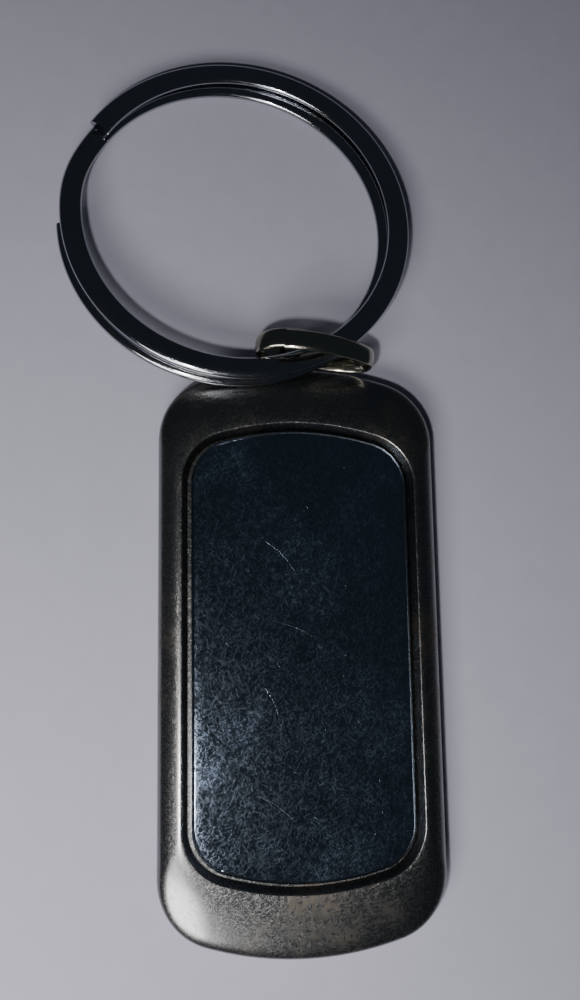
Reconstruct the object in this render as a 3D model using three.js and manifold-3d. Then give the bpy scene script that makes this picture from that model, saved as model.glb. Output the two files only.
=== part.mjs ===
// Keychain: a plated metal fob with a polished plate let into each face, an oval link of flat
// strip that swings in the fob's lug, and a double-coil key ring threaded through the link.
// Millimetres, +Z up. The origin is the centre of the back face, +Y points at the rings.
import * as THREE from 'three';
import { mergeVertices } from 'three/addons/utils/BufferGeometryUtils.js';
import Module from 'manifold-3d';

// ---------------------------------------------------------------- driving dimensions

// Every outline is a barrel-ended rectangle: half width, half length, end arc, corner radius.
const FOB_OUTLINE = { width: 12.5, length: 25.74, endArc: 28.9, corner: 5.8 };
const CREST_OUTLINE = { width: 10.5, length: 20.38, endArc: 25.0, corner: 4.7 };
const FLOOR_OUTLINE = { width: 9.95, length: 19.83, endArc: 24.5, corner: 4.2 };
const PLATE_OUTLINE = { width: 9.68, length: 19.55, endArc: 24.2, corner: 4.0 };
const FACE_OUTLINE = { width: 9.42, length: 19.29, endArc: 24.0, corner: 3.8 };
const FILM_OUTLINE = { width: 9.3, length: 19.15, endArc: 23.8, corner: 3.7 };

const FOB_THICKNESS = 3.8;
const SHOULDER_DROP = 0.98;
const EDGE_ROUND = 0.32;
const RECESS_DEPTH = 1.0;
const FILM_THICKNESS = 0.14;
const SEAT_GAP = 0.02;
const PLATE_BEVEL = 0.26;

// The lug is a tapered tongue that ends in an eye with a round tunnel along X.
const LUG = { rootHalfWidth: 3.1, rootY: 24.6, height: 2.5, underside: 0.25 };
const EYE = { y: 27.2, z: 1.52, radius: 1.5, halfLength: 0.95, hole: 1.2 };

// The link is one strip bent to an oval, its rounded tip riding over its other end.
const LINK = {
  halfLength: 5.2, halfHeight: 2.24, squareness: 2.15,
  width: 0.66, thickness: 1.84, crown: 3,
  yaw: -8, lean: 5, reach: -1.6, startAngle: 122, turns: 1.05, blend: 0.2, lap: 0.84,
  tipDrift: 0.5, bendDrift: 0.36, tipLength: 0.09,
};

// The key ring is one flat wire in two turns, its near side raised on the fob's shoulder.
// Its lower turn is a little smaller than the upper one and lies off its centre.
const RING = {
  outerRadius: 16.38, width: 2.04, thickness: 0.95, crown: 2.8, pitch: 1.03,
  centre: new THREE.Vector2(-5.3, 40.12), lift: 3.66, lowSide: 78,
  startAngle: 147, turns: 1.9, jogAngle: 40,
  lowerShrink: 0.25, lowerShift: new THREE.Vector2(-0.55, -0.55), settle: 0.17,
};

// Facets: outline points in a quarter, rows on the shoulder, steps along each wire.
const END_POINTS = 7;
const CORNER_POINTS = 6;
const SHOULDER_ROWS = 7;
const SECTION_POINTS = 12;
const EYE_SEGMENTS = 24;
const LINK_STEPS = 60;
const RING_STEPS = 122;

const FINISH = {
  nickel: { color: 0x8c8882, roughness: 0.3, metalness: 1 },
  plate: { color: 0x5c6570, roughness: 0.16, metalness: 1 },
  wire: { color: 0x9a9ba0, roughness: 0.14, metalness: 1 },
  film: { color: 0xd8d2c0, roughness: 0.7, metalness: 0 },
};

// ---------------------------------------------------------------- outlines

const degrees = THREE.MathUtils.degToRad;

/** One quarter of an outline, from the middle of the end to the middle of the side. */
function quarterOutline({ width, length, endArc, corner }) {
  // The corner arc touches the straight side and lies inside the end arc.
  const endCentreY = length - endArc;
  const cornerX = width - corner;
  const cornerY = endCentreY + Math.sqrt((endArc - corner) ** 2 - cornerX ** 2);
  const touch = Math.atan2(cornerX, cornerY - endCentreY);
  const points = [];
  for (let i = 0; i < END_POINTS; i += 1) {
    const angle = (touch * i) / END_POINTS;
    points.push([endArc * Math.sin(angle), endCentreY + endArc * Math.cos(angle)]);
  }
  for (let i = 0; i <= CORNER_POINTS; i += 1) {
    const angle = touch + ((Math.PI / 2 - touch) * i) / CORNER_POINTS;
    points.push([cornerX + corner * Math.sin(angle), cornerY + corner * Math.cos(angle)]);
  }
  return points;
}

/** The whole outline, clockwise from the middle of the +Y end. */
function fullOutline(size) {
  const quarter = quarterOutline(size);
  const lower = quarter.map(([x, y]) => [x, -y]).reverse();
  const right = [...quarter, ...lower.slice(0, -1)];
  const left = [...right.map(([x, y]) => [-x, -y])];
  const bottom = [0, -size.length];
  return [...right, bottom, ...left.slice(1)].map(([x, y]) => new THREE.Vector2(x, y));
}

function blendOutlines(inner, outer, share) {
  return inner.map((point, i) => point.clone().lerp(outer[i], share));
}

// ---------------------------------------------------------------- solids from rows

/**
 * A closed solid whose rows are outlines at given heights, top row first. It is a lathe with
 * one segment for each outline point, whose rings are then laid on the outlines.
 */
function rowSolid(rows) {
  const count = rows[0].outline.length;
  const profile = [new THREE.Vector2(0, rows[0].z)];
  for (const row of rows) profile.push(new THREE.Vector2(1, row.z));
  profile.push(new THREE.Vector2(0, rows.at(-1).z));
  const geometry = new THREE.LatheGeometry(profile, count);
  const position = geometry.getAttribute('position');
  for (let segment = 0; segment <= count; segment += 1) {
    for (let level = 0; level < profile.length; level += 1) {
      const index = segment * profile.length + level;
      const onAxis = level === 0 || level === profile.length - 1;
      const point = onAxis ? new THREE.Vector2() : rows[level - 1].outline[segment % count];
      position.setXYZ(index, point.x, point.y, profile[level].y);
    }
  }
  return tidyMesh(geometry);
}

/** Merges shared vertices, which a closed body needs. */
function tidyMesh(geometry) {
  geometry.deleteAttribute('normal');
  geometry.deleteAttribute('uv');
  return mergeVertices(geometry, 1e-4);
}

// ---------------------------------------------------------------- fob case

function shoulderDrop(share) {
  const slope = SHOULDER_DROP * share ** 1.8;
  const edge = EDGE_ROUND * (1 - Math.sqrt(1 - share ** 12));
  return slope + edge;
}

/** Rows of the front half: recess floor, crest, and the shoulder down to the edge. */
function frontRows() {
  const crest = fullOutline(CREST_OUTLINE);
  const edge = fullOutline(FOB_OUTLINE);
  const rows = [
    { outline: fullOutline(FLOOR_OUTLINE), z: FOB_THICKNESS - RECESS_DEPTH },
    { outline: crest, z: FOB_THICKNESS },
  ];
  for (let i = 1; i <= SHOULDER_ROWS; i += 1) {
    const share = Math.sin((Math.PI / 2) * (i / SHOULDER_ROWS));
    rows.push({
      outline: blendOutlines(crest, edge, share),
      z: FOB_THICKNESS - shoulderDrop(share),
    });
  }
  return rows;
}

function caseBody() {
  const front = frontRows();
  const back = front.map(({ outline, z }) => ({ outline, z: FOB_THICKNESS - z })).reverse();
  return rowSolid([...front, ...back]);
}

/** The neck of the lug: a tapered tongue between the case's end and the eye. */
function lugNeck() {
  const neckEnd = EYE.y - 0.6;
  const plan = new THREE.Shape();
  plan.moveTo(-LUG.rootHalfWidth, LUG.rootY);
  plan.lineTo(LUG.rootHalfWidth, LUG.rootY);
  plan.quadraticCurveTo(EYE.halfLength + 0.5, LUG.rootY + 0.9, EYE.halfLength, neckEnd);
  plan.lineTo(-EYE.halfLength, neckEnd);
  plan.quadraticCurveTo(-EYE.halfLength - 0.5, LUG.rootY + 0.9, -LUG.rootHalfWidth, LUG.rootY);
  const neck = new THREE.ExtrudeGeometry(plan, {
    depth: LUG.height - LUG.underside, bevelEnabled: false, curveSegments: 6,
  });
  neck.translate(0, 0, LUG.underside);
  return tidyMesh(neck);
}

/** A bar through the eye's centre along X. */
function eyeBar(radius, halfLength) {
  const bar = new THREE.CylinderGeometry(radius, radius, 2 * halfLength, EYE_SEGMENTS);
  bar.rotateZ(Math.PI / 2);
  bar.translate(0, EYE.y, EYE.z);
  return tidyMesh(bar);
}

// ---------------------------------------------------------------- wires

/** Point of a superellipse at an angle. A power of 2 gives an ellipse, more a squarer outline. */
function superellipse(halfWidth, halfHeight, power, angle) {
  const c = Math.cos(angle);
  const s = Math.sin(angle);
  return new THREE.Vector2(
    halfWidth * Math.sign(c) * Math.abs(c) ** (2 / power),
    halfHeight * Math.sign(s) * Math.abs(s) ** (2 / power),
  );
}

/** Section of a flat wire with crowned faces. */
function crownedSection({ width, thickness, crown }) {
  const points = [];
  for (let k = 0; k < SECTION_POINTS; k += 1) {
    const angle = (2 * Math.PI * (k + 0.5)) / SECTION_POINTS;
    points.push(superellipse(width / 2, thickness / 2, crown, angle));
  }
  return new THREE.Shape(points);
}

/**
 * A straight bar bent along a coil. `coil(share)` gives the centre, the outward direction
 * and the axial direction of the wire at a share of its length, and how much of its full
 * thickness it has there.
 */
function bentWire(wire, steps, coil) {
  const section = crownedSection(wire);
  const bar = new THREE.ExtrudeGeometry(section, { depth: 1, steps, bevelEnabled: false });
  const position = bar.getAttribute('position');
  const point = new THREE.Vector3();
  for (let i = 0; i < position.count; i += 1) {
    point.fromBufferAttribute(position, i);
    const { centre, outward, axial, fullness } = coil(point.z);
    const bent = centre.clone().addScaledVector(outward, point.x);
    bent.addScaledVector(axial, point.y * fullness);
    position.setXYZ(i, bent.x, bent.y, bent.z);
  }
  return tidyMesh(bar);
}

/** Directions of the nearly upright plane that the link stands in. */
function linkPlane() {
  const yaw = degrees(LINK.yaw);
  const lean = degrees(LINK.lean);
  const along = new THREE.Vector3(Math.cos(yaw), Math.sin(yaw), 0);
  const away = new THREE.Vector3(-Math.sin(yaw), Math.cos(yaw), 0);
  const up = away.multiplyScalar(Math.sin(lean)).setZ(Math.cos(lean));
  return { along, up, normal: along.clone().cross(up) };
}

/** Point of the link's oval at an angle, in its own plane. */
function linkOval(angle) {
  return superellipse(LINK.halfLength, LINK.halfHeight, LINK.squareness, angle);
}

/** How far the strip strays from the link's plane: at its tip and in its far bend. */
function linkDrift(turned) {
  const atTip = 1 - THREE.MathUtils.smoothstep(turned, 0, 0.36);
  const intoBend = THREE.MathUtils.smoothstep(turned, 0.68, 0.84);
  const outOfBend = THREE.MathUtils.smoothstep(turned, 0.84, 1);
  return LINK.tipDrift * atTip + LINK.bendDrift * (intoBend - outOfBend);
}

/** The link's strip: its raised tip, then once round the oval to end under the tip. */
function linkCoil() {
  const { along, up, normal } = linkPlane();
  const place = ({ x, y }) => along.clone().multiplyScalar(x).addScaledVector(up, y);
  const centre = new THREE.Vector3(0, EYE.y, EYE.z);
  centre.sub(place(new THREE.Vector2(LINK.reach, -LINK.halfHeight)));
  const lapTurns = LINK.turns - 1;
  return (share) => {
    const turned = share * LINK.turns;
    const angle = degrees(LINK.startAngle) - turned * 2 * Math.PI;
    const ahead = linkOval(angle - 0.01);
    const behind = linkOval(angle + 0.01);
    const tangent = place(ahead.clone().sub(behind)).normalize();
    const outward = normal.clone().cross(tangent);
    const settled = THREE.MathUtils.smoothstep(turned, lapTurns, lapTurns + LINK.blend);
    const point = centre.clone().add(place(linkOval(angle)));
    point.addScaledVector(outward, LINK.lap * (1 - settled));
    point.addScaledVector(normal, linkDrift(turned));
    const fromTip = Math.min(share / LINK.tipLength, 1);
    const fullness = 0.4 + 0.6 * Math.sqrt(1 - (1 - fromTip) ** 2);
    return { centre: point, outward, axial: normal, fullness };
  };
}

/** The key ring is a double coil: one jog carries the wire from the upper to the lower turn. */
function ringCoil() {
  const tilt = Math.atan2(RING.lift, 2 * RING.outerRadius);
  const low = degrees(RING.lowSide);
  const lowSide = new THREE.Vector3(Math.cos(low), Math.sin(low), 0);
  const normal = lowSide.multiplyScalar(Math.sin(tilt)).setZ(Math.cos(tilt));
  const across = new THREE.Vector3(0, 1, 0).cross(normal).normalize();
  const along = normal.clone().cross(across);
  const stack = RING.pitch + RING.thickness;
  const middle = new THREE.Vector3(RING.centre.x, RING.centre.y, RING.lift / 2 - RING.settle);
  middle.addScaledVector(normal, stack / 2);
  const jogTurns = RING.jogAngle / 360;
  return (share) => {
    const turned = share * RING.turns;
    const angle = degrees(RING.startAngle) - turned * 2 * Math.PI;
    const outward = across.clone().multiplyScalar(Math.cos(angle));
    outward.addScaledVector(along, Math.sin(angle));
    const jog = THREE.MathUtils.smoothstep(turned, 1 - jogTurns, 1);
    const radius = RING.outerRadius - RING.width / 2 - RING.lowerShrink * jog;
    const centre = middle.clone().addScaledVector(outward, radius);
    centre.addScaledVector(across, RING.lowerShift.x * jog);
    centre.addScaledVector(along, RING.lowerShift.y * jog);
    centre.addScaledVector(normal, RING.pitch * (0.5 - jog));
    return { centre, outward, axial: normal, fullness: 1 };
  };
}

// ---------------------------------------------------------------- plates and films

/** A plate with a bevelled rim, its face at `faceZ` and its back towards the case. */
function inlayPlate(faceZ, towardsCase) {
  const thickness = RECESS_DEPTH - FILM_THICKNESS - 2 * SEAT_GAP;
  const face = fullOutline(FACE_OUTLINE);
  const side = fullOutline(PLATE_OUTLINE);
  const rows = [
    { outline: face, z: faceZ },
    { outline: side, z: faceZ + towardsCase * PLATE_BEVEL },
    { outline: side, z: faceZ + towardsCase * thickness },
  ];
  return rowSolid(towardsCase < 0 ? rows : rows.reverse());
}

function adhesiveFilm(lowZ) {
  const outline = fullOutline(FILM_OUTLINE);
  return rowSolid([{ outline, z: lowZ + FILM_THICKNESS }, { outline, z: lowZ }]);
}

// ---------------------------------------------------------------- joining

const wasm = await Module();
wasm.setup();

function toManifold(geometry) {
  return new wasm.Manifold(new wasm.Mesh({
    numProp: 3,
    vertProperties: new Float32Array(geometry.getAttribute('position').array),
    triVerts: new Uint32Array(geometry.getIndex().array),
  }));
}

function fromManifold(solid) {
  const mesh = solid.getMesh();
  const geometry = new THREE.BufferGeometry();
  geometry.setAttribute('position', new THREE.BufferAttribute(mesh.vertProperties, 3));
  geometry.setIndex(new THREE.BufferAttribute(mesh.triVerts, 1));
  return geometry;
}

function fobCase() {
  const cast = toManifold(caseBody())
    .add(toManifold(lugNeck()))
    .add(toManifold(eyeBar(EYE.radius, EYE.halfLength)))
    .subtract(toManifold(eyeBar(EYE.hole, EYE.halfLength + 1)));
  return fromManifold(cast);
}

// ---------------------------------------------------------------- assembly

function named(name, geometry, finish) {
  const mesh = new THREE.Mesh(geometry, new THREE.MeshStandardMaterial(finish));
  mesh.name = name;
  return mesh;
}

const keychain = new THREE.Group();
const filmSeat = RECESS_DEPTH - SEAT_GAP;

keychain.add(named('fob_case', fobCase(), FINISH.nickel));
keychain.add(named('face_plate', inlayPlate(FOB_THICKNESS, -1), FINISH.plate));
keychain.add(named('face_plate_adhesive', adhesiveFilm(FOB_THICKNESS - filmSeat), FINISH.film));
keychain.add(named('back_plate', inlayPlate(0, 1), FINISH.plate));
keychain.add(named('back_plate_adhesive', adhesiveFilm(filmSeat - FILM_THICKNESS), FINISH.film));
keychain.add(named('link_ring', bentWire(LINK, LINK_STEPS, linkCoil()), FINISH.wire));
keychain.add(named('key_ring', bentWire(RING, RING_STEPS, ringCoil()), FINISH.wire));

export default keychain;
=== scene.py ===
"""Keychain on a pale table: the visual model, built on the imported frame. All sizes are metres."""

import logging
import math
from dataclasses import dataclass, field
from enum import Enum
from typing import Iterable

import bmesh
import bpy
import numpy as np
from mathutils import Matrix, Vector


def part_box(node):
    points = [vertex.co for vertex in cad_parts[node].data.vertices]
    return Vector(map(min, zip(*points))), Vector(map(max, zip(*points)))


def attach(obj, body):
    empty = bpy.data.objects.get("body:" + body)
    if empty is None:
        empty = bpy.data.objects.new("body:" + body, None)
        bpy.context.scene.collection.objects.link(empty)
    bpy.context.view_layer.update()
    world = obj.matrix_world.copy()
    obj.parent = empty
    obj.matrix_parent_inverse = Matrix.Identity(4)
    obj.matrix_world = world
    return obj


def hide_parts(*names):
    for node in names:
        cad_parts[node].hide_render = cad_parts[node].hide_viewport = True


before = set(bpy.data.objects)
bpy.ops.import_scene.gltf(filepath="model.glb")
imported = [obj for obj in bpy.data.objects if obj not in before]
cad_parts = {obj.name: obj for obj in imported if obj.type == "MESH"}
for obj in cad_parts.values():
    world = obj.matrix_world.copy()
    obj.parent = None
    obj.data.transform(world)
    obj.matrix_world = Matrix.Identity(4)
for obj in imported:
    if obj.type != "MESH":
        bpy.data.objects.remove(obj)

log = logging.getLogger("keychain")

MM = 0.001
SECTION_POINTS = 48
LUG_EYE_TURNS = 96
WANDER_WAVES = 24
TABLE_GAP = 0.00002
SCRATCH_STAND_OFF = 0.0000004
GROOVE_DEPTH = 0.0000012
SCRATCH_STRETCH = (0.35, 1.6)


class Body(Enum):
    """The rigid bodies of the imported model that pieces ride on."""

    FOB = "fob"
    LINK = "link"
    RING = "ring"


class Slot(Enum):
    """The record's material slots."""

    FOB = "fob_nickel"
    FACE = "face_polish"
    BACK = "back_polish"
    FILM = "adhesive"
    LINK = "link_nickel"
    RING = "ring_nickel"


class Side(Enum):
    """The two faces of the fob, as the sign of their outward normal."""

    FRONT = 1
    BACK = -1


# ------------------------------------------------------------------ shared mesh helpers


def mesh_from_arrays(name: str, points: np.ndarray, faces: Iterable[Iterable[int]]) -> bpy.types.Mesh:
    """Makes a mesh from points and faces and turns its faces outwards.

    Args:
        name: The mesh's name.
        points: Vertex positions, one row each.
        faces: Vertex numbers of each face.

    Returns:
        The new mesh, with doubles merged.
    """
    mesh = bpy.data.meshes.new(name)
    mesh.from_pydata([tuple(p) for p in points], [], [tuple(f) for f in faces])
    outward(mesh)
    return mesh


def outward(mesh: bpy.types.Mesh, merge: float = 1e-7) -> None:
    """Merges doubles and turns every face outwards.

    Args:
        mesh: The mesh to tidy, changed in place.
        merge: The distance under which two points are one.
    """
    shape = bmesh.new()
    shape.from_mesh(mesh)
    bmesh.ops.remove_doubles(shape, verts=shape.verts, dist=merge)
    bmesh.ops.recalc_face_normals(shape, faces=shape.faces)
    shape.to_mesh(mesh)
    shape.free()


def smooth(mesh: bpy.types.Mesh, sharp_degrees: float) -> None:
    """Shades a mesh smooth except across edges sharper than an angle.

    Args:
        mesh: The mesh to shade.
        sharp_degrees: Edges that bend more than this stay sharp.
    """
    mesh.polygons.foreach_set("use_smooth", [True] * len(mesh.polygons))
    mesh.set_sharp_from_angle(angle=math.radians(sharp_degrees))


def place(mesh: bpy.types.Mesh, name: str, body: Body, nodes: Iterable[str], slot: Slot,
          material: bpy.types.Material | None = None) -> bpy.types.Object:
    """Puts a finished mesh in the scene as a piece of the object.

    Args:
        mesh: The piece's mesh, already in place in the frame.
        name: The piece's name.
        body: The body that it rides on.
        nodes: The CAD nodes that it stands for.
        slot: The record's slot that its finish belongs to; not used.
        material: The finish, or None where the mesh already carries one.

    Returns:
        The new object.
    """
    piece = bpy.data.objects.new(name, mesh)
    bpy.context.scene.collection.objects.link(piece)
    if material is not None:
        mesh.materials.clear()
        mesh.materials.append(material)
    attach(piece, body.value)
    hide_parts(*nodes)
    log.info("%s: %d faces on %s", name, len(mesh.polygons), body.value)
    return piece


def stack_rows(name: str, rows: list[np.ndarray]) -> bpy.types.Mesh:
    """Skins closed rows of points and closes both ends with a fan.

    Args:
        name: The mesh's name.
        rows: Loops of equal length, each an array of points, first to last.

    Returns:
        A closed mesh.
    """
    count = len(rows[0])
    points = np.vstack(rows + [rows[0].mean(0)[None], rows[-1].mean(0)[None]])
    faces = []
    for level in range(len(rows) - 1):
        for i in range(count):
            j = (i + 1) % count
            faces.append((level * count + i, level * count + j,
                          (level + 1) * count + j, (level + 1) * count + i))
    first, last = len(points) - 2, len(points) - 1
    top = (len(rows) - 1) * count
    for i in range(count):
        j = (i + 1) % count
        faces.append((first, j, i))
        faces.append((last, top + i, top + j))
    return mesh_from_arrays(name, points, faces)


@dataclass(frozen=True)
class Outline:
    """A barrel-ended rectangle: straight sides, curved ends and round corners.

    Attributes:
        half_width: From the middle to a side.
        half_length: From the middle to the middle of an end.
        end_arc: Radius of the end's curve.
        corner: Radius of the corners.
    """

    half_width: float
    half_length: float
    end_arc: float
    corner: float

    def loop(self, end_steps: int = 44, corner_steps: int = 36, side_steps: int = 24) -> np.ndarray:
        """Points of the outline.

        Args:
            end_steps: Steps on half an end.
            corner_steps: Steps on a corner.
            side_steps: Steps on half a side.

        Returns:
            The points, clockwise from the middle of the +Y end, as an array of x and y.
        """
        centre_y = self.half_length - self.end_arc
        corner_x = self.half_width - self.corner
        corner_y = centre_y + math.sqrt((self.end_arc - self.corner) ** 2 - corner_x**2)
        touch = math.atan2(corner_x, corner_y - centre_y)
        quarter = []
        for i in range(end_steps):
            angle = touch * i / end_steps
            quarter.append((self.end_arc * math.sin(angle), centre_y + self.end_arc * math.cos(angle)))
        for i in range(corner_steps):
            angle = touch + (math.pi / 2 - touch) * i / corner_steps
            quarter.append((corner_x + self.corner * math.sin(angle),
                            corner_y + self.corner * math.cos(angle)))
        for i in range(side_steps):
            quarter.append((self.half_width, corner_y * (1 - i / side_steps)))
        top_right = np.array(quarter)
        middle = np.array([[self.half_width, 0.0]])
        bottom_right = top_right[:0:-1] * [1, -1]
        bottom = np.array([[0.0, -self.half_length]])
        right = np.vstack([top_right, middle, bottom_right])
        left = right[:0:-1] * [-1, 1]
        return np.vstack([right, bottom, left])


def at_height(loop: np.ndarray, z: float | np.ndarray) -> np.ndarray:
    """Lifts a flat loop to a height or to a height for each point."""
    return np.column_stack([loop, np.broadcast_to(z, len(loop))])


def wander(count: int, waves: int, seed: int) -> np.ndarray:
    """A smooth closed random line between about -1 and 1.

    Args:
        count: How many samples.
        waves: The highest number of waves round the loop.
        seed: The seed of its random phases.

    Returns:
        The samples.
    """
    dice = np.random.default_rng(seed)
    turn = np.linspace(0, 2 * math.pi, count, endpoint=False)
    orders = dice.integers(max(2, waves // 3), waves, WANDER_WAVES)
    phases = dice.uniform(0, 2 * math.pi, WANDER_WAVES)
    line = np.sin(np.outer(turn, orders) + phases).sum(1)
    return line / np.abs(line).max()


# ------------------------------------------------------------------ geometry node trees


def add_node(tree: bpy.types.NodeTree, kind: str, inputs: dict | None, settings: dict) -> bpy.types.Node:
    """Adds a node to a tree.

    Args:
        tree: The tree.
        kind: The node's type.
        inputs: Values or sockets for its inputs, by name or number.
        settings: Properties of the node.

    Returns:
        The node.
    """
    node = tree.nodes.new(kind)
    for key, value in settings.items():
        setattr(node, key, value)
    for key, value in (inputs or {}).items():
        if isinstance(value, bpy.types.NodeSocket):
            tree.links.new(value, node.inputs[key])
        else:
            node.inputs[key].default_value = value
    return node


class GeometryTree:
    """A Geometry Nodes tree that is built in code and turned into a plain mesh.

    Attributes:
        tree: The node group.
        entry: Its input node.
        exit: Its output node.
    """

    def __init__(self, name: str) -> None:
        """Makes an empty tree with a geometry input and output.

        Args:
            name: The tree's name.
        """
        self.tree = bpy.data.node_groups.new(name, "GeometryNodeTree")
        self.tree.interface.new_socket("Geometry", in_out="INPUT", socket_type="NodeSocketGeometry")
        self.tree.interface.new_socket("Geometry", in_out="OUTPUT", socket_type="NodeSocketGeometry")
        self.entry = self.tree.nodes.new("NodeGroupInput")
        self.exit = self.tree.nodes.new("NodeGroupOutput")

    def number(self, name: str, whole: bool = False) -> bpy.types.NodeSocket:
        """Adds a named number input.

        Args:
            name: The input's name.
            whole: Whether it is a whole number.

        Returns:
            The socket that gives its value inside the tree.
        """
        kind = "NodeSocketInt" if whole else "NodeSocketFloat"
        self.tree.interface.new_socket(name, in_out="INPUT", socket_type=kind)
        return self.entry.outputs[name]

    def finish(self, name: str) -> bpy.types.NodeSocket:
        """Adds a named material input and returns its socket inside the tree."""
        self.tree.interface.new_socket(name, in_out="INPUT", socket_type="NodeSocketMaterial")
        return self.entry.outputs[name]

    def add(self, kind: str, inputs: dict | None = None, **settings) -> bpy.types.Node:
        """Adds a node.

        Args:
            kind: The node's type without its GeometryNode prefix, or its full name.
            inputs: Values or sockets for its inputs, by name or number.
            **settings: Properties of the node.

        Returns:
            The node.
        """
        full = kind if kind.startswith(("Shader", "Function")) else "GeometryNode" + kind
        return add_node(self.tree, full, inputs, settings)

    def math(self, operation: str, a: object, b: object = 0.0) -> bpy.types.NodeSocket:
        """Adds a Math node on two values or sockets and returns its result."""
        node = self.add("ShaderNodeMath", {0: a, 1: b}, operation=operation)
        return node.outputs[0]

    def end_with(self, geometry: bpy.types.NodeSocket, material: bpy.types.NodeSocket) -> None:
        """Realizes the instances, sets the material and links the output.

        Args:
            geometry: The last geometry.
            material: The material socket.
        """
        real = self.add("RealizeInstances", {"Geometry": geometry})
        dressed = self.add("SetMaterial", {"Geometry": real.outputs[0], "Material": material})
        self.tree.links.new(dressed.outputs[0], self.exit.inputs[0])

    def run(self, base: bpy.types.Mesh, name: str, values: dict[str, object]) -> bpy.types.Mesh:
        """Runs the tree on a mesh and returns the result as a plain mesh.

        Args:
            base: The mesh that the tree starts from.
            name: The new mesh's name.
            values: A value for each named input.

        Returns:
            The finished mesh, with no modifier left.
        """
        carrier = bpy.data.objects.new(name + "_carrier", base)
        bpy.context.scene.collection.objects.link(carrier)
        modifier = carrier.modifiers.new("tree", "NODES")
        modifier.node_group = self.tree
        for item in self.tree.interface.items_tree:
            if item.in_out == "INPUT" and item.name in values:
                modifier[item.identifier] = values[item.name]
        graph = bpy.context.evaluated_depsgraph_get()
        made = bpy.data.meshes.new_from_object(carrier.evaluated_get(graph), depsgraph=graph)
        made.name = name
        carrier.modifiers.clear()
        bpy.data.objects.remove(carrier)
        return made


def wire_sweep_tree() -> GeometryTree:
    """A tree that sweeps a rounded flat section along a path of edges in the path's own plane.

    Returns:
        The tree. Its inputs are Width, Thickness, Crown, Section Points and Finish.
    """
    tree = GeometryTree("flat_wire_sweep")
    width, thickness = tree.number("Width"), tree.number("Thickness")
    crown, points = tree.number("Crown"), tree.number("Section Points", whole=True)
    finish = tree.finish("Finish")
    path = tree.add("MeshToCurve", {"Mesh": tree.entry.outputs["Geometry"]})
    upright = tree.add("SetCurveNormal", {"Curve": path.outputs[0]}, mode="Z_UP")
    fullness = tree.add("InputNamedAttribute", {"Name": "fullness"}, data_type="FLOAT")
    tapered = tree.add("SetCurveRadius", {"Curve": upright.outputs[0], "Radius": fullness.outputs[0]})
    circle = tree.add("CurvePrimitiveCircle", {"Resolution": points, "Radius": 1.0})
    around = tree.add("ShaderNodeSeparateXYZ", {0: tree.add("InputPosition").outputs[0]})
    power = tree.math("DIVIDE", 2.0, crown)
    spot = tree.add("ShaderNodeCombineXYZ")
    for axis, size in enumerate((width, thickness)):
        reach = tree.math("POWER", tree.math("ABSOLUTE", around.outputs[axis]), power)
        side = tree.math("SIGN", around.outputs[axis])
        half = tree.math("MULTIPLY", tree.math("MULTIPLY", size, 0.5), side)
        tree.tree.links.new(tree.math("MULTIPLY", reach, half), spot.inputs[axis])
    section = tree.add("SetPosition", {"Geometry": circle.outputs[0], "Position": spot.outputs[0]})
    swept = tree.add("CurveToMesh", {"Curve": tapered.outputs[0], "Profile Curve": section.outputs[0],
                                     "Fill Caps": True})
    tree.end_with(swept.outputs[0], finish)
    return tree


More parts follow.
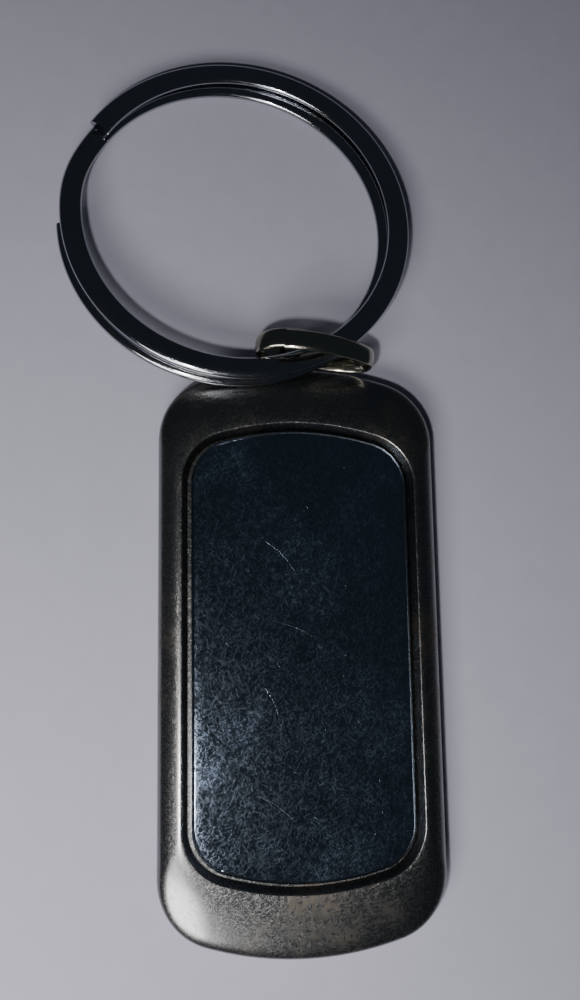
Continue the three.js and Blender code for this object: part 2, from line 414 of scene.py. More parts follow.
def scratch_tree() -> GeometryTree:
    """A tree that scatters fine curved scratches over a face.

    Returns:
        The tree. Its inputs are Density, Seed, Length, Breadth, Bow, Patch Scale, Patch Floor,
        Bias X, Bias Y and Finish.
    """
    tree = GeometryTree("scratch_scatter")
    density, seed = tree.number("Density"), tree.number("Seed", whole=True)
    length, breadth, bow = tree.number("Length"), tree.number("Breadth"), tree.number("Bow")
    patch_scale, patch_floor = tree.number("Patch Scale"), tree.number("Patch Floor")
    bias_x, bias_y = tree.number("Bias X"), tree.number("Bias Y")
    finish = tree.finish("Finish")
    spot = tree.add("ShaderNodeSeparateXYZ", {0: tree.add("InputPosition").outputs[0]})
    slope = tree.math("ADD", tree.math("MULTIPLY", spot.outputs[0], bias_x),
                      tree.math("MULTIPLY", spot.outputs[1], bias_y))
    weight = tree.math("MAXIMUM", tree.math("ADD", slope, 1.0), 0.2)
    patches = tree.add("ShaderNodeTexNoise", {"Scale": patch_scale, "Detail": 2.0})
    above = tree.math("SUBTRACT", patches.outputs[0], patch_floor)
    share = tree.math("MAXIMUM", tree.math("MULTIPLY", above, 3.0), 0.0)
    share = tree.math("MULTIPLY", share, weight)
    spots = tree.add("DistributePointsOnFaces", {
        "Mesh": tree.entry.outputs["Geometry"],
        "Density": tree.math("MULTIPLY", density, share),
        "Seed": seed,
    })
    half = tree.math("MULTIPLY", length, 0.5)
    left = tree.add("ShaderNodeCombineXYZ", {"X": tree.math("MULTIPLY", half, -1.0)})
    middle = tree.add("ShaderNodeCombineXYZ", {"Y": bow})
    right = tree.add("ShaderNodeCombineXYZ", {"X": half})
    stroke = tree.add("CurveQuadraticBezier", {
        "Resolution": 8, "Start": left.outputs[0], "Middle": middle.outputs[0], "End": right.outputs[0],
    })
    along = tree.add("SplineParameter")
    done = along.outputs["Factor"]
    ends = tree.math("MULTIPLY", done, tree.math("SUBTRACT", 1.0, done))
    radius = tree.math("MULTIPLY", ends, 4.0)
    fine = tree.add("SetCurveRadius", {"Curve": stroke.outputs[0], "Radius": radius})
    groove = tree.add("CurvePrimitiveQuadrilateral", {"Width": breadth, "Height": GROOVE_DEPTH})
    cut = tree.add("CurveToMesh", {"Curve": fine.outputs[0], "Profile Curve": groove.outputs[0],
                                   "Fill Caps": True})
    turn = tree.add("FunctionNodeRandomValue", {2: 0.0, 3: 2 * math.pi, "Seed": seed}, data_type="FLOAT")
    turned = tree.add("ShaderNodeCombineXYZ", {"Z": turn.outputs[1]})
    least, most = SCRATCH_STRETCH
    stretch = tree.add("FunctionNodeRandomValue", {2: least, 3: most, "Seed": seed}, data_type="FLOAT")
    scattered = tree.add("InstanceOnPoints", {
        "Points": spots.outputs[0], "Instance": cut.outputs[0],
        "Rotation": turned.outputs[0], "Scale": stretch.outputs[1],
    })
    tree.end_with(scattered.outputs[0], finish)
    return tree


# ------------------------------------------------------------------ finishes


class ShaderSheet:
    """A small helper that adds and links shader nodes of one material."""

    def __init__(self, name: str) -> None:
        """Makes a material with an empty node tree.

        Args:
            name: The material's name.
        """
        self.material = bpy.data.materials.new(name)
        self.material.use_nodes = True
        self.tree = self.material.node_tree
        self.tree.nodes.clear()
        self.output = self.add("ShaderNodeOutputMaterial")
        self.shader = self.add("ShaderNodeBsdfPrincipled")
        self.tree.links.new(self.shader.outputs[0], self.output.inputs[0])
        self.place = self.add("ShaderNodeTexCoord").outputs["Object"]

    def add(self, kind: str, inputs: dict | None = None, **settings) -> bpy.types.Node:
        """Adds a shader node, as add_node does."""
        return add_node(self.tree, kind, inputs, settings)

    def math(self, operation: str, a: object, b: object = 0.0,
             clamp: bool = False) -> bpy.types.NodeSocket:
        """Adds a Math node on two values or sockets and returns its result."""
        return self.add("ShaderNodeMath", {0: a, 1: b}, operation=operation, use_clamp=clamp).outputs[0]

    def noise(self, scale: float, detail: float = 4.0, roughness: float = 0.55,
              place: bpy.types.NodeSocket | None = None) -> bpy.types.NodeSocket:
        """Adds a noise pattern.

        Args:
            scale: Its scale, in cycles per metre.
            detail: How many octaves it has.
            roughness: How strong the fine octaves are.
            place: The coordinates, or None for the object's own.

        Returns:
            Its value, about 0.3 to 0.7.
        """
        return self.add("ShaderNodeTexNoise", {
            "Vector": place or self.place, "Scale": scale, "Detail": detail, "Roughness": roughness,
        }).outputs[0]

    def between(self, value: bpy.types.NodeSocket, low: float, high: float) -> bpy.types.NodeSocket:
        """Stretches a value so that low gives 0 and high gives 1, and clamps it."""
        node = self.add("ShaderNodeMapRange", {"Value": value, "From Min": low, "From Max": high})
        return node.outputs[0]

    def scratches(self, angle: float, along: float, across: float, keep: float) -> bpy.types.NodeSocket:
        """Adds one direction of fine scratches.

        Args:
            angle: The scratches' direction in the fob's plane, in degrees.
            along: Cycles per metre along a scratch.
            across: Cycles per metre across it.
            keep: The noise level above which there is a scratch.

        Returns:
            A mask that is 1 in the scratches.
        """
        turned = self.add("ShaderNodeMapping", {
            "Vector": self.place, "Rotation": (0.0, 0.0, math.radians(angle)),
            "Scale": (1 / along, 1 / across, 1 / across),
        }, vector_type="TEXTURE")
        lines = self.noise(1.0, 1.0, 0.5, turned.outputs[0])
        return self.between(lines, keep, keep + 0.03)

    def colours(self, share: bpy.types.NodeSocket, low: tuple, high: tuple) -> bpy.types.NodeSocket:
        """Mixes two colours by a share and returns the colour."""
        node = self.add("ShaderNodeMix", {0: share, 6: (*low, 1.0), 7: (*high, 1.0)}, data_type="RGBA")
        return node.outputs[2]

    def feed(self, **values: object) -> None:
        """Gives the shader's inputs a value or a socket each, by name with _ for a space."""
        for name, value in values.items():
            target = self.shader.inputs[name.replace("_", " ")]
            if isinstance(value, bpy.types.NodeSocket):
                self.tree.links.new(value, target)
            else:
                target.default_value = value

    def mottle(self, share: bpy.types.NodeSocket, colour: tuple, dim: float) -> None:
        """Colours the shader, dimmed where the share is low.

        Args:
            share: Where the colour is full.
            colour: The full colour.
            dim: How much of it is left where the share is 0.
        """
        self.feed(Base_Color=self.colours(share, tuple(c * dim for c in colour), colour))


@dataclass(frozen=True)
class PlatedMetal:
    """Worn plated metal: a mirror broken by scratches, fine grain and warm smudges.

    Attributes:
        name: The material's name.
        clean: Colour of the bare plating.
        tarnish: Colour where it is smudged.
        roughness: Roughness of the clean plating.
        haze: Extra roughness where it is smudged.
        scratch: Extra roughness in the scratches.
        smudges: The noise levels where smudges start and are full.
        bump: Depth of the grain and the scratches.
    """

    name: str
    clean: tuple[float, float, float]
    tarnish: tuple[float, float, float]
    roughness: float
    haze: float
    scratch: float
    smudges: tuple[float, float]
    bump: float

    def material(self) -> bpy.types.Material:
        """Builds the material's nodes.

        Returns:
            The material.
        """
        sheet = ShaderSheet(self.name)
        patches = sheet.noise(160.0, 5.0, 0.62)
        grain = sheet.noise(2600.0, 4.0, 0.6)
        smudge = sheet.between(patches, *self.smudges)
        speckle = sheet.math("MULTIPLY", smudge, sheet.between(grain, 0.35, 0.6))
        lines = sheet.scratches(17.0, 900.0, 30000.0, 0.665)
        for angle, along in ((-38.0, 1300.0), (71.0, 1000.0), (-74.0, 1500.0), (44.0, 1200.0)):
            lines = sheet.math("ADD", lines, sheet.scratches(angle, along, 32000.0, 0.68), clamp=True)
        rough = sheet.math("ADD", sheet.math("MULTIPLY", speckle, self.haze), self.roughness)
        rough = sheet.math("ADD", rough, sheet.math("MULTIPLY", lines, self.scratch), clamp=True)
        height = sheet.math("SUBTRACT", sheet.math("MULTIPLY", grain, 0.6), lines)
        bump = sheet.add("ShaderNodeBump", {"Height": height, "Distance": self.bump, "Strength": 0.6})
        tone = sheet.colours(speckle, self.clean, self.tarnish)
        sheet.feed(Base_Color=tone, Roughness=rough, Normal=bump.outputs[0], Metallic=1.0)
        return sheet.material


@dataclass(frozen=True)
class BareScratch:
    """Freshly cut metal in the open scratches of a plate.

    Attributes:
        name: The material's name.
        colour: Its colour.
        roughness: Its mean roughness.
    """

    name: str
    colour: tuple[float, float, float]
    roughness: float

    def material(self) -> bpy.types.Material:
        """Builds the material's nodes and returns it."""
        sheet = ShaderSheet(self.name)
        grain = sheet.noise(5200.0, 2.0)
        rough = sheet.math("MULTIPLY", sheet.math("ADD", grain, 0.5), self.roughness)
        sheet.mottle(sheet.between(grain, 0.35, 0.65), self.colour, 0.6)
        sheet.feed(Roughness=rough, Metallic=1.0)
        return sheet.material


@dataclass(frozen=True)
class PaperFilm:
    """The matt adhesive film under a plate."""

    name: str = "adhesive_film"
    colour: tuple[float, float, float] = (0.72, 0.68, 0.56)

    def material(self) -> bpy.types.Material:
        """Builds the material's nodes and returns it."""
        sheet = ShaderSheet(self.name)
        fibre = sheet.noise(900.0, 6.0)
        sheet.mottle(sheet.between(fibre, 0.3, 0.7), self.colour, 0.8)
        bump = sheet.add("ShaderNodeBump", {"Height": fibre, "Distance": 0.00001})
        sheet.feed(Normal=bump.outputs[0], Roughness=0.8)
        return sheet.material


@dataclass(frozen=True)
class TableTop:
    """A plain pale table top with a faint mottle."""

    name: str = "table_top"
    colour: tuple[float, float, float] = (0.56, 0.555, 0.65)

    def material(self) -> bpy.types.Material:
        """Builds the material's nodes and returns it."""
        sheet = ShaderSheet(self.name)
        cloud = sheet.noise(420.0, 5.0)
        sheet.mottle(sheet.between(cloud, 0.3, 0.7), self.colour, 0.96)
        sheet.feed(Roughness=0.55, Specular_IOR_Level=0.25)
        return sheet.material


# ------------------------------------------------------------------ the fob


@dataclass
class FobCase:
    """The plated case: a barrel-ended tablet, dished for a plate on each side, with a lug.

    Attributes:
        rim: The case's widest outline.
        crest: The outline of the raised edge round a plate.
        floor: The outline of the recess floor.
        recess: Depth of the recess.
        shoulder_drop: How far the shoulder falls from the crest to the edge.
        edge_round: Extra fall of the small round at the edge.
        shoulder_rows: Rows of points on a shoulder.
    """

    rim: Outline = Outline(12.5 * MM, 25.74 * MM, 28.9 * MM, 5.8 * MM)
    crest: Outline = Outline(10.5 * MM, 20.38 * MM, 25.0 * MM, 4.7 * MM)
    floor: Outline = Outline(9.95 * MM, 19.83 * MM, 24.5 * MM, 4.2 * MM)
    recess: float = 1.0 * MM
    shoulder_drop: float = 0.98 * MM
    edge_round: float = 0.32 * MM
    shoulder_rows: int = 34

    def fall(self, share: float) -> float:
        """Height lost at a share of the way from the crest to the edge."""
        slope = self.shoulder_drop * share**1.8
        return slope + self.edge_round * (1 - math.sqrt(1 - share**12))

    def half_rows(self, thickness: float) -> list[np.ndarray]:
        """Rows of the front half, from the recess floor to the side wall.

        Args:
            thickness: The case's full thickness.

        Returns:
            The rows, first the floor's.
        """
        floor, crest, rim = self.floor.loop(), self.crest.loop(), self.rim.loop()
        rows = []
        # Up the recess wall.
        for share in (0.0, 0.02, 0.25, 0.5, 0.75, 0.9):
            rows.append(at_height(floor + (crest - floor) * share, thickness - self.recess * (1 - share)))
        # Over the crest in a small round.
        for turn in (0.15, 0.4, 0.7, 1.0):
            fillet = 0.1 * (1 - turn) ** 2
            inward = (floor - crest) * fillet
            rows.append(at_height(crest + inward + (rim - crest) * 0.02 * turn**2,
                                  thickness - self.recess * fillet - 0.01 * MM * turn))
        # Down the shoulder, in rows that draw together at the edge.
        for i in range(1, self.shoulder_rows + 1):
            share = min(0.03 + 0.97 * math.sin(math.pi / 2 * i / self.shoulder_rows), 1.0)
            rows.append(at_height(crest + (rim - crest) * share, thickness - self.fall(share)))
        return rows

    def shell(self) -> bpy.types.Mesh:
        """Builds the closed case without its lug."""
        low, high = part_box("fob_case")
        thickness = high.z - low.z
        front = self.half_rows(thickness)
        back = [row * [1, 1, -1] + [0, 0, thickness] for row in front][::-1]
        wall_top, wall_foot = front[-1], back[0]
        wall = [wall_top + (wall_foot - wall_top) * share for share in (0.25, 0.5, 0.75)]
        mesh = stack_rows("fob_shell", front + wall + back)
        smooth(mesh, sharp_degrees=32)
        return mesh

    def build(self, finish: bpy.types.Material) -> None:
        """Builds and places the shell.

        Args:
            finish: The case's material.
        """
        place(self.shell(), "fob_shell", Body.FOB, ["fob_case"], Slot.FOB, finish)


@dataclass
class Lug:
    """The tapered tongue and eye that hold the link.

    Attributes:
        root_half_width: Half the tongue's width where it leaves the case.
        root_y: Where the tongue starts, inside the case's end.
        underside: Height of its underside.
        top: Height of its top.
        eye_y: The eye's centre along the fob.
        eye_z: The eye's centre above the table.
        eye_radius: Outer radius of the eye.
        hole_radius: Radius of the tunnel.
        eye_half: Half the eye's length across the fob.
        round_over: Radius of the rounded edges.
        tongue_steps: Steps along the tongue.
        corner_steps: Steps on a corner of the tongue.
        rim_steps: Steps on a rounded rim of the eye.
    """

    root_half_width: float = 3.1 * MM
    root_y: float = 24.3 * MM
    underside: float = 0.25 * MM
    top: float = 2.5 * MM
    eye_y: float = 27.2 * MM
    eye_z: float = 1.52 * MM
    eye_radius: float = 1.5 * MM
    hole_radius: float = 1.2 * MM
    eye_half: float = 0.95 * MM
    round_over: float = 0.16 * MM
    tongue_steps: int = 28
    corner_steps: int = 8
    rim_steps: int = 6

    def tongue(self) -> bpy.types.Mesh:
        """Builds the tapered tongue from rounded sections along Y."""
        end_y = self.eye_y - 0.55 * MM
        rows = []
        for step in range(self.tongue_steps + 1):
            share = step / self.tongue_steps
            y = self.root_y + (end_y - self.root_y) * share
            slim = (1 - share) ** 2.2
            half = self.eye_half + (self.root_half_width - self.eye_half) * slim
            rows.append(self.section(half, y))
        return stack_rows("tongue", rows)

    def section(self, half: float, y: float) -> np.ndarray:
        """A rounded rectangle across the tongue.

        Args:
            half: Half its width.
            y: Where it stands.

        Returns:
            Its points.
        """
        radius = 2.4 * self.round_over
        middle = (self.top + self.underside) / 2
        high = (self.top - self.underside) / 2
        points = []
        for quarter, (sx, sz) in enumerate(((1, 1), (-1, 1), (-1, -1), (1, -1))):
            for step in range(self.corner_steps + 1):
                angle = math.pi / 2 * (quarter + step / self.corner_steps)
                points.append((sx * (half - radius) + radius * math.cos(angle), y,
                               middle + sz * (high - radius) + radius * math.sin(angle)))
        return np.array(points)

    def barrel(self, radius: float, half: float, round_over: float) -> bpy.types.Mesh:
        """A bar along X through the eye's centre, with rounded rims.

        Args:
            radius: Its radius.
            half: Half its length.
            round_over: Radius of its rims, or 0 for sharp ones.

        Returns:
            The closed mesh.
        """
        rim = []
        for step in range(self.rim_steps if round_over else 0, -1, -1):
            angle = math.pi / 2 * step / self.rim_steps
            rim.append((-half + round_over * (1 - math.sin(angle)),
                        radius - round_over * (1 - math.cos(angle))))
        turns = np.linspace(0, 2 * math.pi, LUG_EYE_TURNS, endpoint=False)
        rows = []
        for x, r in rim + [(-x, r) for x, r in reversed(rim)]:
            rows.append(np.column_stack([np.full(LUG_EYE_TURNS, x), self.eye_y + r * np.cos(turns),
                                         self.eye_z + r * np.sin(turns)]))
        return stack_rows("barrel", rows)

    def solid(self) -> bpy.types.Mesh:
        """Joins the tongue and the eye and cuts the tunnel."""
        base = bpy.data.objects.new("lug_base", self.tongue())
        bar = self.barrel(self.eye_radius, self.eye_half, self.round_over)
        bore = self.barrel(self.hole_radius, 3 * self.eye_half, 0.0)
        eye = bpy.data.objects.new("lug_eye", bar)
        tunnel = bpy.data.objects.new("lug_tunnel", bore)
        for thing in (base, eye, tunnel):
            bpy.context.scene.collection.objects.link(thing)
        for tool, operation in ((eye, "UNION"), (tunnel, "DIFFERENCE")):
            modifier = base.modifiers.new(operation.lower(), "BOOLEAN")
            modifier.object = tool
            modifier.operation = operation
            modifier.solver = "EXACT"
        graph = bpy.context.evaluated_depsgraph_get()
        mesh = bpy.data.meshes.new_from_object(base.evaluated_get(graph), depsgraph=graph)
        for thing in (base, eye, tunnel):
            bpy.data.objects.remove(thing)
        outward(mesh, merge=1e-8)
        smooth(mesh, sharp_degrees=35)
        return mesh

    def build(self, finish: bpy.types.Material) -> None:
        """Builds and places the lug.

        Args:
            finish: The lug's material.
        """
        place(self.solid(), "fob_lug", Body.FOB, ["fob_case"], Slot.FOB, finish)


@dataclass
class InlayPlate:
    """A polished plate let into one side of the fob, with a bevelled, slightly ragged edge.

    Attributes:
        side: Which face it is on.
        node: The CAD node that it stands for.
        slot: The record's slot of its finish.
        edge: Its outline at the foot of the bevel.
        face: Its outline at the top of the bevel.
        bevel: Height of the bevel.
        seed: Seed of everything random on it.
        ragged: How far the bevel's top edge strays.
        scratch_slope: How the scratches thin out along X and Y, for each metre.
    """

    side: Side
    node: str
    slot: Slot
    seed: int
    edge: Outline = Outline(9.68 * MM, 19.55 * MM, 24.2 * MM, 4.0 * MM)
    face: Outline = Outline(9.42 * MM, 19.29 * MM, 24.0 * MM, 3.8 * MM)
    bevel: float = 0.26 * MM
    ragged: float = 0.05 * MM
    scratch_slope: tuple[float, float] = (-70.0, -45.0)

    def slab(self) -> bpy.types.Mesh:
        """Builds the closed plate."""
        low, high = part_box(self.node)
        outer, inner = (high.z, low.z) if self.side is Side.FRONT else (low.z, high.z)
        sign = self.side.value
        edge, face = self.edge.loop(70, 44, 130), self.face.loop(70, 44, 130)
        across = (edge - face) / np.linalg.norm(edge - face, axis=1)[:, None]
        stray = self.ragged * wander(len(face), 170, self.seed)[:, None]
        ragged_face = face + across * np.minimum(stray, 0.0)
        middle = (edge + ragged_face) / 2 + across * 0.02 * MM
        rows = [at_height(edge * 0.3, inner), at_height(edge, inner),
                at_height(edge, outer - sign * self.bevel),
                at_height(middle, outer - sign * self.bevel * 0.42),
                at_height(ragged_face, outer - sign * 0.006 * MM),
                at_height(ragged_face - across * 0.05 * MM, outer)]
        for share in (0.93, 0.7, 0.4, 0.12):
            rows.append(at_height(face * share, outer))
        mesh = stack_rows(self.node + "_slab", rows)
        smooth(mesh, sharp_degrees=25)
        return mesh

    def scratched_area(self) -> bpy.types.Mesh:
        """A flat sheet just proud of the plate, for scratches to lie on."""
        low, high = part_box(self.node)
        height = (high.z if self.side is Side.FRONT else low.z) + self.side.value * SCRATCH_STAND_OFF
        loop = at_height(self.face.loop(10, 10, 8) * 0.985, height)
        mesh = bpy.data.meshes.new(self.node + "_area")
        mesh.from_pydata([tuple(p) for p in loop], [], [tuple(range(len(loop)))])
        return mesh

    def build(self, finish: bpy.types.Material, scratch: bpy.types.Material, tree: GeometryTree) -> None:
        """Builds and places the plate and its open scratches.

        Args:
            finish: The plate's material.
            scratch: The scratches' material.
            tree: The scratch tree.
        """
        place(self.slab(), self.node + "_slab", Body.FOB, [self.node], self.slot, finish)
        kinds = {
            "fine": {"Density": 7.0e5, "Length": 0.24 * MM, "Breadth": 0.006 * MM, "Bow": 0.006 * MM,
                     "Patch Scale": 210.0, "Patch Floor": 0.42},
            "long": {"Density": 6.0e4, "Length": 3.4 * MM, "Breadth": 0.01 * MM, "Bow": 0.6 * MM,
                     "Patch Scale": 120.0, "Patch Floor": 0.42},
            "nick": {"Density": 1.0e5, "Length": 0.14 * MM, "Breadth": 0.03 * MM, "Bow": 0.01 * MM,
                     "Patch Scale": 150.0, "Patch Floor": 0.48},
        }
        for number, (kind, sizes) in enumerate(kinds.items()):
            values = dict(sizes, Seed=self.seed + number, Finish=scratch)
            values.update(zip(("Bias X", "Bias Y"), self.scratch_slope))
            mesh = tree.run(self.scratched_area(), f"{self.node}_{kind}_scratches", values)
            place(mesh, mesh.name, Body.FOB, [self.node], self.slot)


# ------------------------------------------------------------------ the wires


@dataclass(frozen=True)
class Section:
    """A flat wire's crowned section: its width outwards, its thickness along the axis."""

    width: float
    thickness: float
    crown: float


def path_mesh(name: str, points: np.ndarray, fullness: np.ndarray) -> bpy.types.Mesh:
    """A chain of edges through points, with the wire's fullness at each.

    Args:
        name: The mesh's name.
        points: The points, in order.
        fullness: The share of the full section at each point.

    Returns:
        The mesh.
    """
    mesh = bpy.data.meshes.new(name)
    edges = [(i, i + 1) for i in range(len(points) - 1)]
    mesh.from_pydata([tuple(p) for p in points], edges, [])
    mesh.attributes.new("fullness", "FLOAT", "POINT").data.foreach_set("value", fullness)
    return mesh


def ease(value: np.ndarray, low: float, high: float) -> np.ndarray:
    """A smooth step from 0 at low to 1 at high."""
    share = np.clip((value - low) / (high - low), 0, 1)
    return share * share * (3 - 2 * share)


@dataclass
class KeyRing:
    """The double-coil key ring, its near side raised on the fob's shoulder.

    Attributes:
        outer_radius: Its outer radius.
        section: The wire's section.
        pitch: How far the two turns lie apart.
        lift: How much higher its raised side is.
        low_side: The direction of its lowest side, in degrees.
        centre: Its centre over the table.
        start_angle: Where the upper turn ends, in degrees.
        turns: How many turns the wire makes.
        jog_angle: The angle over which the wire changes turns.
        lower_shrink: How much smaller the lower turn's radius is.
        lower_shift: How far the lower turn lies off the upper one's centre.
        settle: How far the ring sinks because its lower turn is the smaller one.
        steps: Steps along the wire.
    """

    outer_radius: float = 16.38 * MM
    section: Section = Section(2.04 * MM, 0.95 * MM, 2.25)
    pitch: float = 1.03 * MM
    lift: float = 3.66 * MM
    low_side: float = 78.0
    centre: tuple[float, float] = (-5.3 * MM, 40.12 * MM)
    start_angle: float = 147.0
    turns: float = 1.9
    jog_angle: float = 40.0
    lower_shrink: float = 0.25 * MM
    lower_shift: tuple[float, float] = (-0.55 * MM, -0.55 * MM)
    settle: float = 0.17 * MM
    steps: int = 900

    def path(self) -> np.ndarray:
        """The wire's middle line, in the ring's own plane."""
        turned = np.linspace(0, self.turns, self.steps + 1)
        angle = math.radians(self.start_angle) - turned * 2 * math.pi
        drop = ease(turned, 1 - self.jog_angle / 360, 1)
        radius = self.outer_radius - self.section.width / 2 - self.lower_shrink * drop
        return np.column_stack([
            radius * np.cos(angle) + self.lower_shift[0] * drop,
            radius * np.sin(angle) + self.lower_shift[1] * drop,
            self.pitch * (0.5 - drop),
        ])

    def lie(self) -> Matrix:
        """The turn and the move that lay the ring's plane on the table and the fob."""
        tilt = math.atan2(self.lift, 2 * self.outer_radius)
        low = math.radians(self.low_side)
        normal = Vector((math.cos(low) * math.sin(tilt), math.sin(low) * math.sin(tilt), math.cos(tilt)))
        across = Vector((0, 1, 0)).cross(normal).normalized()
        along = normal.cross(across)
        turn = Matrix((across, along, normal)).transposed().to_4x4()
        foot = Vector((*self.centre, self.lift / 2 - self.settle))
        middle = foot + normal * (self.pitch + self.section.thickness) / 2
        return Matrix.Translation(middle) @ turn

    def build(self, finish: bpy.types.Material, tree: GeometryTree) -> None:
        """Builds and places the ring.

        Args:
            finish: The wire's material.
            tree: The sweep tree.
        """
        path = path_mesh("key_ring_path", self.path(), np.ones(self.steps + 1))
        mesh = sweep(tree, path, "key_ring_coil", self.section, finish)
        mesh.transform(self.lie())
        place(mesh, "key_ring_coil", Body.RING, ["key_ring"], Slot.RING)


def sweep(tree: GeometryTree, path: bpy.types.Mesh, name: str, section: Section,
          finish: bpy.types.Material) -> bpy.types.Mesh:
    """Sweeps a flat wire along a path and shades it.

    Args:
        tree: The sweep tree.
        path: The wire's middle line.
        name: The new mesh's name.
        section: The wire's section.
        finish: The wire's material.

    Returns:
        The closed wire.
    """
    mesh = tree.run(path, name, {
        "Width": section.width, "Thickness": section.thickness, "Crown": section.crown,
        "Section Points": SECTION_POINTS, "Finish": finish,
    })
    outward(mesh)
    smooth(mesh, sharp_degrees=40)
    return mesh


@dataclass
class LinkRing:
    """The oval link of flat strip, its rounded tip lying over its other end.

    Attributes:
        half_length: Half the oval's length at the strip's middle.
        half_height: Half its height.
        squareness: How square the oval is: 2 is an ellipse.
        section: The strip's section.
        yaw: The link's turn about Z, in degrees.
        lean: How far it leans away from the fob, in degrees.
        reach: Where the eye holds it, along the oval from its middle.
        start_angle: Where the tip is, in degrees.
        turns: How many turns the strip makes.
        lap: How far the tip stands off the strip under it.
        blend: The share of a turn over which the tip comes down.
        tip_drift: How far the tip strays sideways.
        tip_drift_end: The turn at which that drift is gone.
        bend_drift: How far the far bend strays sideways.
        bend_turns: The turns at which that drift starts, is greatest and is gone.
        tip_share: The share of the strip's length in the rounded tip.
        tip_fullness: The share of the full section at the very tip.
        steps: Steps along the strip.
    """

    half_length: float = 5.2 * MM
    half_height: float = 2.24 * MM
    squareness: float = 2.15
    section: Section = Section(0.66 * MM, 1.84 * MM, 2.3)
    yaw: float = -8.0
    lean: float = 5.0
    reach: float = -1.6 * MM
    start_angle: float = 122.0
    turns: float = 1.05
    lap: float = 0.84 * MM
    blend: float = 0.2
    tip_drift: float = 0.5 * MM
    tip_drift_end: float = 0.36
    bend_drift: float = 0.36 * MM
    bend_turns: tuple[float, float, float] = (0.68, 0.84, 1.0)
    tip_share: float = 0.09
    tip_fullness: float = 0.4
    steps: int = 700

    def oval(self, angle: np.ndarray) -> np.ndarray:
        """Points of the oval at some angles, as an array of x and y."""
        power = 2 / self.squareness
        c, s = np.cos(angle), np.sin(angle)
        return np.column_stack([self.half_length * np.sign(c) * np.abs(c) ** power,
                                self.half_height * np.sign(s) * np.abs(s) ** power])

    def path(self) -> tuple[np.ndarray, np.ndarray]:
        """The strip's middle line in the oval's plane, and how full its section is.

        Returns:
            The points and the fullness at each.
        """
        turned = np.linspace(0, self.turns, self.steps + 1)
        angle = math.radians(self.start_angle) - turned * 2 * math.pi
        flat = self.oval(angle)
        tangent = self.oval(angle - 0.01) - self.oval(angle + 0.01)
        tangent /= np.linalg.norm(tangent, axis=1)[:, None]
        out = np.column_stack([-tangent[:, 1], tangent[:, 0]])
        lap_turns = self.turns - 1
        flat += out * (self.lap * (1 - ease(turned, lap_turns, lap_turns + self.blend)))[:, None]
        start, most, gone = self.bend_turns
        aside = self.tip_drift * (1 - ease(turned, 0, self.tip_drift_end))
        aside += self.bend_drift * (ease(turned, start, most) - ease(turned, most, gone))
        from_tip = np.minimum(turned / self.turns / self.tip_share, 1)
        fullness = self.tip_fullness + (1 - self.tip_fullness) * np.sqrt(1 - (1 - from_tip) ** 2)
        return np.column_stack([flat, aside]), fullness

    def stand(self) -> Matrix:
        """The turn and the move that stand the oval in the lug's eye."""
        yaw, lean = math.radians(self.yaw), math.radians(self.lean)
        along = Vector((math.cos(yaw), math.sin(yaw), 0))
        away = Vector((-math.sin(yaw), math.cos(yaw), 0))
        up = away * math.sin(lean) + Vector((0, 0, math.cos(lean)))
        turn = Matrix((along, up, along.cross(up))).transposed().to_4x4()
        lug = Lug()
        eye = Vector((0, lug.eye_y, lug.eye_z))
        middle = eye - along * self.reach + up * self.half_height
        return Matrix.Translation(middle) @ turn

    def build(self, finish: bpy.types.Material, tree: GeometryTree) -> None:
        """Builds and places the link.

        Args:
            finish: The strip's material.
            tree: The sweep tree.
        """
        points, fullness = self.path()
        mesh = sweep(tree, path_mesh("link_path", points, fullness), "link_strip", self.section, finish)
        mesh.transform(self.stand())
        place(mesh, "link_strip", Body.LINK, ["link_ring"], Slot.LINK)


# ------------------------------------------------------------------ stage


@dataclass
class Lamp:
    """A soft square lamp that points straight down.

    Attributes:
        name: Its name.
        place: Where it hangs.
        size: The length of its side.
        power: Its power in watts.
        colour: Its colour.
        spread: The angle that it shines over, in degrees.
    """

    name: str
    place: tuple[float, float, float]
    size: float
    power: float
    colour: tuple[float, float, float]
    spread: float = 180.0

    def build(self) -> None:
        """Adds the lamp to the scene."""
        light = bpy.data.lights.new(self.name, "AREA")
        light.size = self.size
        light.energy = self.power
        light.color = self.colour
        light.spread = math.radians(self.spread)
        lamp = bpy.data.objects.new(self.name, light)
        lamp.location = self.place
        lamp.rotation_mode = "QUATERNION"
        lamp.rotation_quaternion = Vector((0, 0, -1)).to_track_quat("-Z", "Y")
        bpy.context.scene.collection.objects.link(lamp)


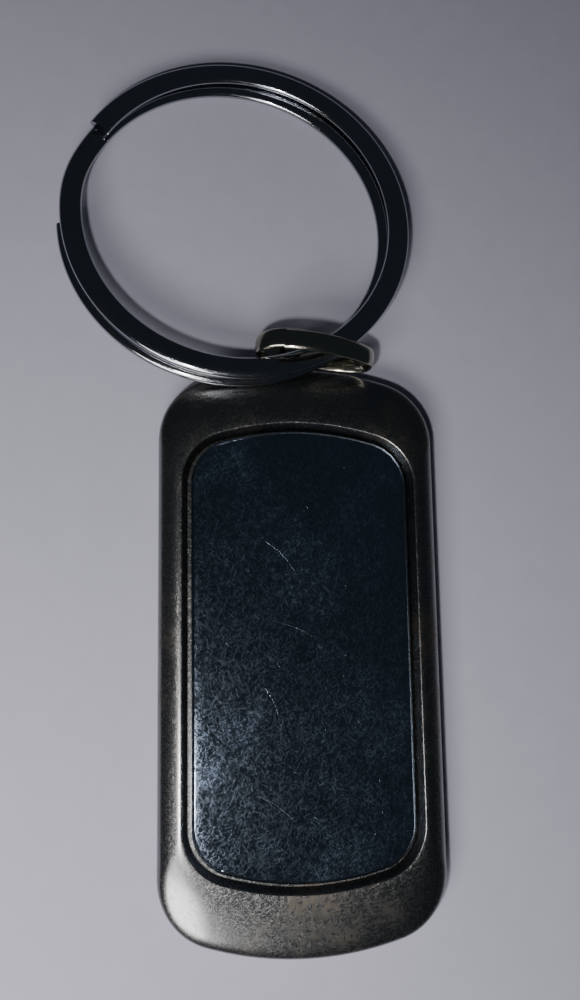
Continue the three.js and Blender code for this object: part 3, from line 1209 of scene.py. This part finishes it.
@dataclass
class Studio:
    """The table top, the lamps and the camera.

    Attributes:
        target: What the camera looks at.
        distance: How far away it is.
        tilt: Its angle from straight above, in degrees.
        azimuth: The side that it leans to, in degrees west of -Y.
        roll: Its roll, in degrees.
        lens: Its focal length in millimetres.
        floor_size: Half the table top's side.
        room: The colour of the dim room.
        lamps: The lamps.
    """

    target: tuple[float, float, float] = (-0.65 * MM, 13.6 * MM, 2.0 * MM)
    distance: float = 99.82 * MM
    tilt: float = 13.13
    azimuth: float = 40.7
    roll: float = -0.93
    lens: float = 39.6
    floor_size: float = 0.6
    room: tuple[float, float, float] = (0.017, 0.022, 0.027)
    lamps: list[Lamp] = field(default_factory=lambda: [
        Lamp("window_lamp", (-0.085, -0.125, 0.13), size=0.11, power=0.34, colour=(1.0, 0.985, 0.99)),
        Lamp("near_lamp", (-0.03, -0.021, 0.1), size=0.007, power=0.052, colour=(1.0, 0.98, 0.99)),
    ])

    def camera(self) -> None:
        """Adds the camera and makes it the scene's."""
        tilt, azimuth = math.radians(self.tilt), math.radians(self.azimuth)
        back = Vector((-math.sin(tilt) * math.sin(azimuth), -math.sin(tilt) * math.cos(azimuth),
                       math.cos(tilt)))
        right = Vector((0, 1, 0)).cross(back).normalized()
        up = back.cross(right)
        turn = Matrix((right, up, back)).transposed() @ Matrix.Rotation(math.radians(self.roll), 3, "Z")
        data = bpy.data.cameras.new("camera")
        data.lens = self.lens
        data.clip_start = 0.001
        camera = bpy.data.objects.new("camera", data)
        eye = Vector(self.target) + back * self.distance
        camera.matrix_world = Matrix.Translation(eye) @ turn.to_4x4()
        bpy.context.scene.collection.objects.link(camera)
        bpy.context.scene.camera = camera

    def table(self) -> None:
        """Adds the table top under the fob."""
        half = self.floor_size
        mesh = bpy.data.meshes.new("table_top")
        corners = [(-half, -half, 0), (half, -half, 0), (half, half, 0), (-half, half, 0)]
        mesh.from_pydata(corners, [], [(0, 1, 2, 3)])
        mesh.transform(Matrix.Translation((0, 0, -TABLE_GAP)))
        mesh.materials.append(TableTop().material())
        floor = bpy.data.objects.new("table_top", mesh)
        bpy.context.scene.collection.objects.link(floor)

    def world(self) -> None:
        """Makes the dim room round the table."""
        world = bpy.data.worlds.new("room")
        world.use_nodes = True
        background = world.node_tree.nodes["Background"]
        background.inputs["Color"].default_value = (*self.room, 1.0)
        background.inputs["Strength"].default_value = 1.0
        bpy.context.scene.world = world

    def build(self) -> None:
        """Builds the whole stage."""
        self.table()
        self.world()
        for lamp in self.lamps:
            lamp.build()
        self.camera()


# ------------------------------------------------------------------ the whole keychain


def dress_hidden_films(finish: bpy.types.Material) -> None:
    """Gives the two adhesive films their finish.

    Args:
        finish: The film's material.
    """
    for node in ("face_plate_adhesive", "back_plate_adhesive"):
        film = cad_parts[node]
        film.data.materials.clear()
        film.data.materials.append(finish)


def main() -> None:
    """Builds every piece in order."""
    logging.basicConfig(level=logging.INFO, format="%(message)s")
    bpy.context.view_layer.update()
    Studio().build()
    case_metal = PlatedMetal(
        "fob_nickel", clean=(0.28, 0.28, 0.275), tarnish=(0.22, 0.19, 0.15),
        roughness=0.23, haze=0.16, scratch=0.12, smudges=(0.5, 0.68), bump=0.0000025).material()
    plate_metal = PlatedMetal(
        "plate_polish", clean=(0.30, 0.36, 0.45), tarnish=(0.32, 0.43, 0.60),
        roughness=0.1, haze=0.13, scratch=0.15, smudges=(0.5, 0.76), bump=0.0000006).material()
    link_metal = PlatedMetal(
        "link_nickel", clean=(0.46, 0.44, 0.37), tarnish=(0.36, 0.31, 0.22),
        roughness=0.1, haze=0.1, scratch=0.1, smudges=(0.5, 0.7), bump=0.000001).material()
    ring_metal = PlatedMetal(
        "ring_nickel", clean=(0.42, 0.435, 0.46), tarnish=(0.38, 0.37, 0.34),
        roughness=0.08, haze=0.1, scratch=0.1, smudges=(0.5, 0.7), bump=0.000001).material()
    scratch = BareScratch("bare_scratch", (0.40, 0.46, 0.56), 0.24).material()
    FobCase().build(case_metal)
    Lug().build(case_metal)
    scratches = scratch_tree()
    InlayPlate(Side.FRONT, "face_plate", Slot.FACE, 11).build(plate_metal, scratch, scratches)
    InlayPlate(Side.BACK, "back_plate", Slot.BACK, 41).build(plate_metal, scratch, scratches)
    dress_hidden_films(PaperFilm().material())
    sweeps = wire_sweep_tree()
    LinkRing().build(link_metal, sweeps)
    KeyRing().build(ring_metal, sweeps)


if __name__ == "__main__":
    main()
